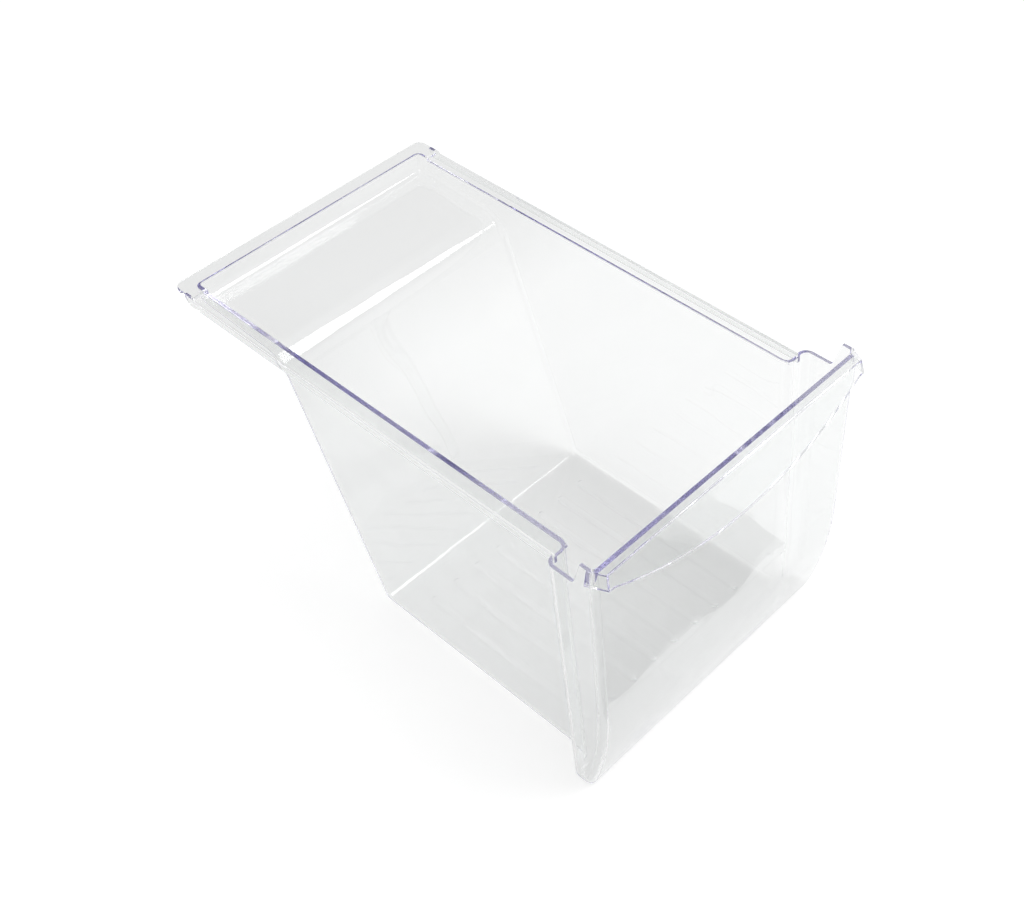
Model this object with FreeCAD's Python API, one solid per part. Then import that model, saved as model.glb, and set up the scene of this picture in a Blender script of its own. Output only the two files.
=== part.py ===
"""Clear crisper drawer for a fridge, one injection moulding.

Millimetres, +Z up, front towards -Y. The right half (+X) is built and mirrored. While it is built, Y is
measured backwards from the upright front face; at the end the drawer is moved so that the origin is the
middle of its overall box, on the underside of the floor.
"""
import FreeCAD
import Part
import math
import os

V = FreeCAD.Vector

# Walls
WALL = 2.6                                # walls, floor, slope and shelf
INSIDE_ROUND = 3.0                        # inside, where the side walls meet floor, slope, front and rear
EDGE_ROUND = INSIDE_ROUND + WALL          # the same edges on the outside

# Heights above the underside of the floor
RIM_Z = 236.0                             # side walls and side flanges
FRONT_RISE = 22.0                         # the front panel stands this far above the rim
FRONT_Z = RIM_Z + FRONT_RISE

# Widths of the outside, and half widths (X) worked out from them
RIM_WIDTH = 224.4                         # over the side walls at the rim
SIDE_RIM_X = RIM_WIDTH / 2
SIDE_DRAFT = 1.8                          # each side wall comes in by this much at the floor
SIDE_FLOOR_X = SIDE_RIM_X - SIDE_DRAFT
WING_OUT = 18.8                           # the front panel stands out this far past each side wall
WING_DRAFT = 2.0
WING_RIM_X = SIDE_RIM_X + WING_OUT
WING_FLOOR_X = WING_RIM_X - WING_DRAFT

# Where the side walls step out to the wider front panel
STEP_RIM_Y = 43.8
STEP_DRAFT = 7.2
STEP_FLOOR_Y = STEP_RIM_Y - STEP_DRAFT
STEP_ROUND = 5.0                          # hollow corner beside the side wall
STEP_OUTER_ROUND = STEP_ROUND + WALL      # full corner beside the front panel

# Side view: front, floor, slope over the hump at the back of the fridge, shelf, rear wall
FRONT_BEND_Z = 57.0                       # below about this height the front curves back to the floor
FRONT_FOOT_Y = 17.6                       # how far back the curve takes the foot of the front
FRONT_CURVE_SHARE = 0.86                  # part of the slanting length that the curve takes up
FRONT_FOOT_ROUND = 7.0
SLOPE_FOOT_Y = 262.0
SLOPE_FOOT_ROUND = 8.0
SLOPE_RUN = 71.0
SHELF_DROP = 19.5                         # underside of the shelf below the rim, at the top of the slope
SHELF_RISE = 4.0                          # the shelf climbs this much to the rear wall
SHELF_ROUND = 25.0
REAR_WALL_Y = 425.3
REAR_FOOT_ROUND = 9.0

# The front panel's ends drop steeply to the rim
EAR_TOP_Y = 12.0
EAR_RUN = 6.6
EAR_ROUND = 4.0

# Flange round sides and rear, on which the drawer slides
FLANGE_T = 2.4
FLANGE_W = 11.2
FLANGE_CORNER = 8.0
FLANGE_EDGE = 0.7
FLANGE_X = SIDE_RIM_X + FLANGE_W
FLANGE_REAR_Y = REAR_WALL_Y + FLANGE_W
RAISED_LENGTH = 24.5                      # the rear flange is one thickness higher over this length
RAISED_Y = FLANGE_REAR_Y - RAISED_LENGTH
REAR_Z = RIM_Z + FLANGE_T
LIP_H = 7.0                               # turned-down outer edge of the side flanges
LIP_REAR_REACH = 7.5                      # the lip runs on this far under the raised rear flange
LIP_REAR_Y = RAISED_Y + LIP_REAR_REACH
LIP_TAPER = 3.0
LIP_CORNER = 1.5

# Handle: a ledge along the top of the front with a hanging lip whose lower edge is an arc
HANDLE_END = 0.5                          # the handle stands out past the ends of the front panel
LEDGE_REACH = 6.6
LEDGE_BACK_Y = 5.8                        # it wraps this far back round the ends
LEDGE_CORNER = 5.8                        # its front corners are cut this far in from the ends
LEDGE_T = 2.4
APRON_T = 2.4
APRON_LEAN = 0.195                        # the lip leans forward by this much for each mm of drop
APRON_END_DROP = 12.0
APRON_MID_DROP = 38.9
APRON_ARC_END = 8.7                       # the arc stops this far from the ends of the handle
NOSE_ROUND = 1.0

# Raised ribs on the floor
RIB_COUNT = 8
RIB_MARGIN = 1.1                          # clear floor beside the outer ribs, in pitches from their middles
RIB_PITCH = 2 * SIDE_FLOOR_X / (RIB_COUNT - 1 + 2 * RIB_MARGIN)
RIB_FRONT_Y = 57.7
RIB_REAR_GAP = 30.3                       # clear floor between the ribs and the foot of the slope
RIB_REAR_Y = SLOPE_FOOT_Y - RIB_REAR_GAP
RIB_W = 7.0
RIB_H = 1.1
STUD_W = 8.0                              # domed stud at the front end of each rib
STUD_H = 1.8

FAR = 60.0                                # how far working shapes reach past the drawer


def rounded_wire(corners, place):
    """Closed wire through (u, v, radius) corners, each corner rounded to its radius."""
    count = len(corners)
    starts = []
    mids = []
    ends = []
    for i in range(count):
        u, v, radius = corners[i]
        here = V(u, v, 0)
        before = V(corners[i - 1][0], corners[i - 1][1], 0) - here
        after = V(corners[(i + 1) % count][0], corners[(i + 1) % count][1], 0) - here
        before.normalize()
        after.normalize()
        if radius <= 0:
            starts.append(here)
            mids.append(None)
            ends.append(here)
            continue
        half = before.getAngle(after) / 2
        reach = radius / math.tan(half)
        middle = before + after
        middle.normalize()
        starts.append(here + before * reach)
        mids.append(here + middle * (radius / math.sin(half) - radius))
        ends.append(here + after * reach)
    edges = []
    for i in range(count):
        if mids[i] is not None:
            edges.append(Part.Arc(place(starts[i]), place(mids[i]), place(ends[i])).toShape())
        following = starts[(i + 1) % count]
        if ends[i].distanceToPoint(following) > 1e-6:
            edges.append(Part.makeLine(place(ends[i]), place(following)))
    return Part.Wire(Part.__sortEdges__(edges))


def across(wire):
    """Solid from a side-view wire, carried from the middle of the drawer out past its right side."""
    return Part.Face(wire).extrude(V(WING_RIM_X + FAR, 0, 0))


def tapered_block(low, high):
    """Flat-faced block between two outlines with matching corners, each anticlockwise from above."""
    count = len(low)
    outlines = [list(reversed(low)), high]
    for i in range(count):
        j = (i + 1) % count
        outlines.append([low[i], low[j], high[j], high[i]])
    faces = [Part.Face(Part.makePolygon(points + points[:1])) for points in outlines]
    return Part.Solid(Part.Shell(faces))


def middle_of(edge):
    return edge.valueAt((edge.FirstParameter + edge.LastParameter) / 2)


def at_height(floor_value, rim_value, z):
    """Straight draft through the value at the floor and the value at the rim."""
    return floor_value + (rim_value - floor_value) * z / RIM_Z


def plan_points(z, inset):
    """Square-cornered half plan at one height: a straight side that steps out to the front panel."""
    side = at_height(SIDE_FLOOR_X, SIDE_RIM_X, z) - inset
    wing = at_height(WING_FLOOR_X, WING_RIM_X, z) - inset
    step = at_height(STEP_FLOOR_Y, STEP_RIM_Y, z) - inset
    rear = FLANGE_REAR_Y + FAR
    return [
        V(0, -FAR, z),
        V(wing, -FAR, z),
        V(wing, step, z),
        V(side, step, z),
        V(side, rear, z),
        V(0, rear, z),
    ]


def plan_block(inset):
    """Drafted block with half the drawer's plan, its step rounded."""
    low = plan_points(-FAR, inset)
    high = plan_points(FRONT_Z + FAR, inset)
    block = tapered_block(low, high)
    for corner, radius in ((3, STEP_ROUND + inset), (2, STEP_OUTER_ROUND - inset)):
        halfway = (low[corner] + high[corner]) / 2
        chosen = [edge for edge in block.Edges if middle_of(edge).distanceToPoint(halfway) < 1e-3]
        block = block.makeFillet(radius, chosen)
    return block


def side_view():
    """Outside of the drawer seen from the side, open well above the front."""
    top = FRONT_Z + FAR / 2
    slant = math.hypot(FRONT_FOOT_Y, FRONT_BEND_Z)
    turn = math.atan2(FRONT_FOOT_Y, FRONT_BEND_Z)
    curve = FRONT_CURVE_SHARE * slant / math.tan(turn / 2)
    corners = [
        (0, top, 0),
        (0, FRONT_BEND_Z, curve),
        (FRONT_FOOT_Y, 0, FRONT_FOOT_ROUND),
        (SLOPE_FOOT_Y, 0, SLOPE_FOOT_ROUND),
        (SLOPE_FOOT_Y + SLOPE_RUN, RIM_Z - SHELF_DROP, SHELF_ROUND),
        (REAR_WALL_Y, RIM_Z - SHELF_DROP + SHELF_RISE, REAR_FOOT_ROUND),
        (REAR_WALL_Y, top, 0),
    ]
    return rounded_wire(corners, lambda p: V(0, p.x, p.y))


def body(inset):
    """Half of the solid body: the side view carried across, held within the plan, its long edges rounded."""
    view = side_view()
    if inset > 0:
        offsets = (view.makeOffset2D(inset), view.makeOffset2D(-inset))
        view = min(offsets, key=lambda wire: wire.BoundBox.DiagonalLength)
    solid = across(view).common(plan_block(inset)).Solids[0]
    chosen = []
    for edge in solid.Edges:
        middle = middle_of(edge)
        at_side = edge.BoundBox.XMin > SIDE_RIM_X / 2
        on_view = Part.Vertex(0, middle.y, middle.z).distToShape(view)[0] < 1e-4
        if at_side and on_view and middle.z < FRONT_Z + WALL:
            chosen.append(edge)
    return solid.makeFillet(EDGE_ROUND - inset, chosen)


def above_rim():
    """Everything above the rim: level along the sides, rising to the front panel, raised at the rear."""
    top = FRONT_Z + FAR
    rear = FLANGE_REAR_Y + FAR
    corners = [
        (-FAR, FRONT_Z, 0),
        (EAR_TOP_Y, FRONT_Z, 0),
        (EAR_TOP_Y + EAR_RUN, RIM_Z, EAR_ROUND),
        (RAISED_Y, RIM_Z, 0),
        (RAISED_Y, REAR_Z, 0),
        (rear, REAR_Z, 0),
        (rear, top, 0),
        (-FAR, top, 0),
    ]
    return across(rounded_wire(corners, lambda p: V(0, p.x, p.y)))


def side_flange():
    """Level strip along the outside of the side wall, with its outer edge turned down."""
    front = STEP_RIM_Y - WALL / 2
    root = SIDE_RIM_X - WALL / 2
    size = (FLANGE_X - root, RAISED_Y + FLANGE_T - front, FLANGE_T)
    strip = Part.makeBox(*size, V(root, front, RIM_Z - FLANGE_T))
    corners = [
        (front, RIM_Z - LIP_H, 0),
        (LIP_REAR_Y, RIM_Z - LIP_H, LIP_CORNER),
        (LIP_REAR_Y + LIP_TAPER, RIM_Z, 0),
        (front, RIM_Z, 0),
    ]
    wire = rounded_wire(corners, lambda p: V(FLANGE_X - FLANGE_T, p.x, p.y))
    lip = Part.Face(wire).extrude(V(FLANGE_T, 0, 0))
    return strip.fuse(lip).removeSplitter()


def rear_flange():
    """Half of the level flange round the rear wall, with a rounded corner and an eased upper edge."""
    root = SIDE_RIM_X - WALL / 2
    root_y = REAR_WALL_Y - WALL / 2
    corner = EDGE_ROUND - WALL / 2
    outline = rounded_wire([
        (0, RAISED_Y, 0),
        (FLANGE_X, RAISED_Y, 0),
        (FLANGE_X, FLANGE_REAR_Y, FLANGE_CORNER),
        (0, FLANGE_REAR_Y, 0),
    ], lambda p: V(p.x, p.y, RIM_Z))
    mouth = rounded_wire([
        (-FAR, RAISED_Y - FAR, 0),
        (root, RAISED_Y - FAR, 0),
        (root, root_y, corner),
        (-FAR, root_y, 0),
    ], lambda p: V(p.x, p.y, RIM_Z - FLANGE_T))
    plate = Part.Face(outline).extrude(V(0, 0, FLANGE_T))
    eased = []
    for edge in plate.Edges:
        box = edge.BoundBox
        at_outside = box.XMax > FLANGE_X - 1e-6 or box.YMin > FLANGE_REAR_Y - 1e-6
        if box.ZMin > REAR_Z - 1e-6 and at_outside and box.YMax > RAISED_Y + FLANGE_T:
            eased.append(edge)
    plate = plate.makeChamfer(FLANGE_EDGE, eased)
    return plate.cut(Part.Face(mouth).extrude(V(0, 0, 3 * FLANGE_T)))


def handle_plan(grow, z):
    """Half plan of the handle with its front corner cut off, grown outwards by one distance."""
    ledge_x = at_height(WING_FLOOR_X, WING_RIM_X, FRONT_Z) + HANDLE_END
    depth = LEDGE_REACH + LEDGE_BACK_Y
    end = ledge_x + grow * math.hypot(depth, LEDGE_CORNER) / depth
    corner = end - LEDGE_CORNER * (depth + grow) / depth
    nose = -LEDGE_REACH - grow
    return [
        V(0, nose, z),
        V(corner, nose, z),
        V(end, LEDGE_BACK_Y, z),
        V(0, LEDGE_BACK_Y, z),
    ]


def handle():
    """Half of the ledge and its leaning lip with an arc-shaped lower edge, open below for the fingers."""
    deep = APRON_MID_DROP + 2 * APRON_T
    outside = tapered_block(
        handle_plan(APRON_LEAN * deep, FRONT_Z - deep),
        handle_plan(0, FRONT_Z),
    )
    nose = []
    for edge in outside.Edges:
        box = edge.BoundBox
        if box.ZMin > FRONT_Z - 1e-6 and box.YMin < LEDGE_BACK_Y - 0.1 and box.XMax > 1:
            nose.append(edge)
    outside = outside.makeFillet(NOSE_ROUND, nose)
    deeper = deep + APRON_T
    hollow = tapered_block(
        handle_plan(APRON_LEAN * deeper - APRON_T, FRONT_Z - deeper),
        handle_plan(APRON_LEAN * LEDGE_T - APRON_T, FRONT_Z - LEDGE_T),
    )
    end = FRONT_Z - APRON_END_DROP
    arc_x = handle_plan(0, FRONT_Z)[2].x - APRON_ARC_END
    reach = WING_RIM_X + FAR
    top = FRONT_Z + FAR
    points = [
        V(arc_x, -FAR, end),
        V(reach, -FAR, end),
        V(reach, -FAR, top),
        V(-reach, -FAR, top),
        V(-reach, -FAR, end),
        V(-arc_x, -FAR, end),
    ]
    arc = Part.Arc(points[-1], V(0, -FAR, FRONT_Z - APRON_MID_DROP), points[0]).toShape()
    kept = Part.Face(Part.Wire(Part.makePolygon(points).Edges + [arc])).extrude(V(0, 2 * FAR, 0))
    return outside.cut(hollow).common(kept)


def cap_radius(width, height):
    """Radius of the circle that stands up by one height over a chord of one width."""
    return (width * width / 4 + height * height) / (2 * height)


def rib(x):
    """Low rounded rib along the floor with a round rear end and a domed stud at its front."""
    radius = cap_radius(RIB_W, RIB_H)
    front = RIB_FRONT_Y + STUD_W / 2
    rear = RIB_REAR_Y - RIB_W / 2
    bead = Part.makeCylinder(radius, RIB_REAR_Y - front, V(x, front, WALL + RIB_H - radius), V(0, 1, 0))
    room = Part.makeBox(RIB_W, rear - front, 2 * WALL, V(x - RIB_W / 2, front, WALL / 2))
    room = room.fuse(Part.makeCylinder(RIB_W / 2, 2 * WALL, V(x, rear, WALL / 2))).removeSplitter()
    stud_radius = cap_radius(STUD_W, STUD_H)
    dome = Part.makeSphere(stud_radius, V(x, front, WALL + STUD_H - stud_radius), V(0, 1, 0))
    stud_room = Part.makeCylinder(STUD_W, 2 * WALL, V(x, front, WALL / 2))
    return bead.common(room).fuse(dome.common(stud_room)).removeSplitter()


def drawer():
    """The whole moulding at the working position."""
    outside = body(0)
    inside = body(WALL)
    half = outside.cut(inside).cut(above_rim())
    for piece in (side_flange(), rear_flange(), handle().cut(inside)):
        half = half.fuse(piece)
    half = half.removeSplitter()
    shell = half.fuse(half.mirror(V(0, 0, 0), V(1, 0, 0)))
    for i in range(RIB_COUNT):
        shell = shell.fuse(rib((i - (RIB_COUNT - 1) / 2) * RIB_PITCH))
    return shell.removeSplitter()


part = drawer()
front_edge = -LEDGE_REACH - APRON_LEAN * APRON_MID_DROP
part.translate(V(0, -(front_edge + FLANGE_REAR_Y) / 2, 0))
solid = part.Solids[0]

box = solid.optimalBoundingBox()
print("solids", len(part.Solids), "valid", part.isValid(), "faces", len(part.Faces))
print("box", round(box.XLength, 2), round(box.YLength, 2), round(box.ZLength, 2))
print("volume cm3", round(solid.Volume / 1000, 1))

os.makedirs("parts", exist_ok=True)
solid.exportStep("parts/crisper_drawer.step")
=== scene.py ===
"""Looks of the crisper drawer: clear plastic on a white studio floor, seen as in the photograph."""
import math

import bpy
from mathutils import Matrix, Vector

# Lengths are in metres and angles in degrees, where nothing else is said.

# Camera, fitted to the straight edges in the photograph
IMAGE_W = 1024
FOCAL_PX = 1489.7
LENS_SHIFT = (-0.10, 0.0464)
SENSOR_MM = 36.0
CLIP_START = 0.01
CAMERA_AT = (-0.5240, -0.6127, 0.9381)
LOOKS_TOWARDS = 45.80       # from the rear towards the right
LOOKS_DOWN = 47.54
ROLL = -2.12

# Plastic
PLASTIC_IOR = 1.58
PLASTIC_TINT = (0.962, 0.970, 0.966, 1.0)
EDGE_TINT = (0.50, 0.47, 0.72, 1.0)  # colour left over after a long way through the plastic
EDGE_DENSITY = 2.4
POLISH = (0.012, 0.045)     # roughness of the polished and of the handled patches
PATCH_SCALE = 9.0           # patches to a metre
PATCH_DETAIL = 4.0
PATCH_RANGE = (0.45, 0.75)  # noise values at which a handled patch begins and is full
WAVE_SCALE = 22.0           # slow waves that the mould leaves in the walls, to a metre
WAVE_DETAIL = 0.0
WAVE_HEIGHT = 0.0006
BOUNCES = 512               # light runs a long way inside a wall before it leaves by an edge

# Studio floor
FLOOR_GAP = 0.0004          # the floor lies just under the drawer
FLOOR_HALF = 12.0
FLOOR_GREY = 0.50
FLOOR_SHOWN = 0.68          # lifts the floor to white where the camera sees it
FLOOR_MIRRORED = 0.58       # and to a pale grey in reflections and through the plastic
FLOOR_REAR = 0.49           # the same behind the drawer, where a painted fall-off of the light darkens it
FALL_OFF = (0.23, 0.34)     # along Y, where that begins and ends
FLOOR_PAINTED_SHADE = 0.14         # painted shade: the same level in reflections of the floor's front left
PAINTED_SHADE_RIGHT = 0.15         # right and rear edges of that painted shade, along X and Y
PAINTED_SHADE_REAR = -0.269
ONCE_MIRRORED = 0.5         # a Glossy Depth above this means one reflection or more

# Studio light
WHITE = (1, 1, 1, 1)
WORLD_THROUGH = 0.86        # the white surroundings, seen through the plastic
SKY_LEVEL = 1.0
SKY = (                     # sine of the elevation, share of SKY_LEVEL
    (0.0, 1.0),
    (0.45, 1.0),
    (0.60, 0.3),
    (0.85, 0.3),
    (0.95, 1.0),
)
KEY_AT = (0.5, -0.7, 1.5)
KEY_AIM = (0.2, -0.4, 0)
KEY_SIZE = (0.8, 0.8)
KEY_WATTS = 10.0


def camera():
    """Camera at the photograph's viewpoint."""
    turn = math.radians(LOOKS_TOWARDS)
    down = math.radians(LOOKS_DOWN)
    roll = math.radians(ROLL)
    ahead = Vector((
        math.sin(turn) * math.cos(down),
        math.cos(turn) * math.cos(down),
        -math.sin(down),
    ))
    level = Vector((math.cos(turn), -math.sin(turn), 0))
    upright = level.cross(ahead)
    right = level * math.cos(roll) + upright * math.sin(roll)
    up = upright * math.cos(roll) - level * math.sin(roll)
    data = bpy.data.cameras.new("camera")
    data.sensor_width = SENSOR_MM
    data.lens = FOCAL_PX / IMAGE_W * SENSOR_MM
    data.shift_x, data.shift_y = LENS_SHIFT
    data.clip_start = CLIP_START
    made = bpy.data.objects.new("camera", data)
    axes = Matrix((right, up, -ahead)).transposed()
    made.matrix_world = Matrix.Translation(CAMERA_AT) @ axes.to_4x4()
    bpy.context.scene.collection.objects.link(made)
    bpy.context.scene.camera = made


def grey(level):
    return (level, level, level, 1)


def new_material(name):
    """Material with nothing in it but its output."""
    material = bpy.data.materials.new(name)
    material.use_nodes = True
    tree = material.node_tree
    tree.nodes.clear()
    output = tree.nodes.new("ShaderNodeOutputMaterial")
    return material, tree, output


def clouds(tree, scale, detail):
    """Soft noise fixed to the object, the same size in metres everywhere."""
    place = tree.nodes.new("ShaderNodeTexCoord")
    noise = tree.nodes.new("ShaderNodeTexNoise")
    noise.inputs["Scale"].default_value = scale
    noise.inputs["Detail"].default_value = detail
    tree.links.new(place.outputs["Object"], noise.inputs["Vector"])
    return noise.outputs["Fac"]


def map_range(tree, value, source, target):
    """Value carried over from the range source to the range target."""
    node = tree.nodes.new("ShaderNodeMapRange")
    node.inputs["From Min"].default_value, node.inputs["From Max"].default_value = source
    node.inputs["To Min"].default_value, node.inputs["To Max"].default_value = target
    tree.links.new(value, node.inputs["Value"])
    return node.outputs["Result"]


def combine(tree, operation, first, second):
    """Math node on two values, each an output of another node or a number."""
    node = tree.nodes.new("ShaderNodeMath")
    node.operation = operation
    for socket, value in zip(node.inputs, (first, second)):
        if isinstance(value, float):
            socket.default_value = value
        else:
            tree.links.new(value, socket)
    return node.outputs[0]


def clear_plastic():
    """Clear polished moulding with handled patches and slow waves, violet along its edges."""
    material, tree, output = new_material("clear_plastic")
    nodes, links = tree.nodes, tree.links
    shader = nodes.new("ShaderNodeBsdfPrincipled")
    shader.inputs["Base Color"].default_value = PLASTIC_TINT
    shader.inputs["IOR"].default_value = PLASTIC_IOR
    shader.inputs["Transmission Weight"].default_value = 1.0

    patches = clouds(tree, PATCH_SCALE, PATCH_DETAIL)
    links.new(map_range(tree, patches, PATCH_RANGE, POLISH), shader.inputs["Roughness"])

    waves = nodes.new("ShaderNodeBump")
    waves.inputs["Distance"].default_value = WAVE_HEIGHT
    links.new(clouds(tree, WAVE_SCALE, WAVE_DETAIL), waves.inputs["Height"])
    links.new(waves.outputs["Normal"], shader.inputs["Normal"])

    inside = nodes.new("ShaderNodeVolumeAbsorption")
    inside.inputs["Color"].default_value = EDGE_TINT
    inside.inputs["Density"].default_value = EDGE_DENSITY
    links.new(shader.outputs["BSDF"], output.inputs["Surface"])
    links.new(inside.outputs["Volume"], output.inputs["Volume"])
    return material


def floor_glow(tree):
    """How far the floor is lifted: most for the camera, less mirrored or through the plastic.
    Reflections carry a painted shade on the front left and a painted fall-off of the light behind
    the drawer.
    """
    path = tree.nodes.new("ShaderNodeLightPath").outputs
    straight = combine(tree, "MULTIPLY", path["Is Camera Ray"], FLOOR_SHOWN)
    bent = combine(tree, "MAXIMUM", path["Is Glossy Ray"], path["Is Transmission Ray"])
    place = tree.nodes.new("ShaderNodeNewGeometry")
    split = tree.nodes.new("ShaderNodeSeparateXYZ")
    tree.links.new(place.outputs["Position"], split.inputs["Vector"])

    # painted shade on the floor's front left, only in reflections
    left = combine(tree, "LESS_THAN", split.outputs["X"], PAINTED_SHADE_RIGHT)
    ahead = combine(tree, "LESS_THAN", split.outputs["Y"], PAINTED_SHADE_REAR)
    mirrored = combine(tree, "GREATER_THAN", path["Glossy Depth"], ONCE_MIRRORED)
    painted_shade = combine(tree, "MULTIPLY", mirrored, combine(tree, "MULTIPLY", left, ahead))
    painted_shade_loss = combine(tree, "MULTIPLY", painted_shade, FLOOR_MIRRORED - FLOOR_PAINTED_SHADE)

    # painted fall-off of the light behind the drawer
    glow_with_painted_fall_off = map_range(tree, split.outputs["Y"], FALL_OFF, (FLOOR_MIRRORED, FLOOR_REAR))
    level = combine(tree, "SUBTRACT", glow_with_painted_fall_off, painted_shade_loss)
    return combine(tree, "MAXIMUM", straight, combine(tree, "MULTIPLY", bent, level))


def studio_floor():
    """White floor that keeps the drawer's shadow."""
    material, tree, output = new_material("studio_floor")
    nodes, links = tree.nodes, tree.links
    matt = nodes.new("ShaderNodeBsdfDiffuse")
    matt.inputs["Color"].default_value = grey(FLOOR_GREY)
    glow = nodes.new("ShaderNodeEmission")
    glow.inputs["Color"].default_value = WHITE
    links.new(floor_glow(tree), glow.inputs["Strength"])
    both = nodes.new("ShaderNodeAddShader")
    links.new(matt.outputs["BSDF"], both.inputs[0])
    links.new(glow.outputs["Emission"], both.inputs[1])
    links.new(both.outputs["Shader"], output.inputs["Surface"])

    signs = ((-1, -1), (1, -1), (1, 1), (-1, 1))
    corners = [(a * FLOOR_HALF, b * FLOOR_HALF, -FLOOR_GAP) for a, b in signs]
    mesh = bpy.data.meshes.new("studio_floor")
    mesh.from_pydata(corners, [], [(0, 1, 2, 3)])
    mesh.materials.append(material)
    floor = bpy.data.objects.new("studio_floor", mesh)
    bpy.context.scene.collection.objects.link(floor)


def studio_world():
    """White where the camera sees past the floor, a soft sky for light and reflections."""
    world = bpy.data.worlds.new("studio")
    bpy.context.scene.world = world
    world.use_nodes = True
    tree = world.node_tree
    nodes, links = tree.nodes, tree.links
    nodes.clear()
    output = nodes.new("ShaderNodeOutputWorld")

    place = nodes.new("ShaderNodeTexCoord")
    split = nodes.new("ShaderNodeSeparateXYZ")
    links.new(place.outputs["Generated"], split.inputs["Vector"])
    ramp = nodes.new("ShaderNodeValToRGB")
    stops = ramp.color_ramp.elements
    while len(stops) < len(SKY):
        stops.new(0.5)      # put in its place below
    for stop, (height, level) in zip(stops, SKY):
        stop.position = height
        stop.color = grey(level)
    links.new(split.outputs["Z"], ramp.inputs["Fac"])
    soft = nodes.new("ShaderNodeBackground")
    soft.inputs["Strength"].default_value = SKY_LEVEL
    links.new(ramp.outputs["Color"], soft.inputs["Color"])

    white = nodes.new("ShaderNodeBackground")
    white.inputs["Color"].default_value = WHITE
    path = nodes.new("ShaderNodeLightPath").outputs
    straight, through = path["Is Camera Ray"], path["Is Transmission Ray"]
    paler = combine(tree, "MULTIPLY", through, WORLD_THROUGH)
    links.new(combine(tree, "MAXIMUM", straight, paler), white.inputs["Strength"])

    mix = nodes.new("ShaderNodeMixShader")
    links.new(combine(tree, "MAXIMUM", straight, through), mix.inputs["Fac"])
    links.new(soft.outputs["Background"], mix.inputs[1])
    links.new(white.outputs["Background"], mix.inputs[2])
    links.new(mix.outputs["Shader"], output.inputs["Surface"])


def softbox(name, at, aim, size, watts):
    """Soft rectangular lamp that faces the point aim."""
    data = bpy.data.lights.new(name, "AREA")
    data.shape = "RECTANGLE"
    data.size, data.size_y = size
    data.energy = watts
    lamp = bpy.data.objects.new(name, data)
    lamp.location = at
    lamp.rotation_euler = (Vector(aim) - Vector(at)).to_track_quat("-Z", "Y").to_euler()
    bpy.context.scene.collection.objects.link(lamp)


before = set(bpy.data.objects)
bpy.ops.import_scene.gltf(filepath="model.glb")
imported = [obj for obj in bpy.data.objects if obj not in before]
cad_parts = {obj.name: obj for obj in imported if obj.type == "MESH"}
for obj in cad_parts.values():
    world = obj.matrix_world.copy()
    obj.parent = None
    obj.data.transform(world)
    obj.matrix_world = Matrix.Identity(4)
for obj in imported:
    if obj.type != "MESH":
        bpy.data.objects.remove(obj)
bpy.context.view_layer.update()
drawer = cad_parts["crisper_drawer"]
drawer.data.materials.clear()
drawer.data.materials.append(clear_plastic())

camera()
studio_floor()
studio_world()
softbox("key", KEY_AT, KEY_AIM, KEY_SIZE, KEY_WATTS)

scene = bpy.context.scene
scene.view_settings.view_transform = "Standard"
scene.cycles.max_bounces = BOUNCES
scene.cycles.glossy_bounces = BOUNCES
scene.cycles.transmission_bounces = BOUNCES
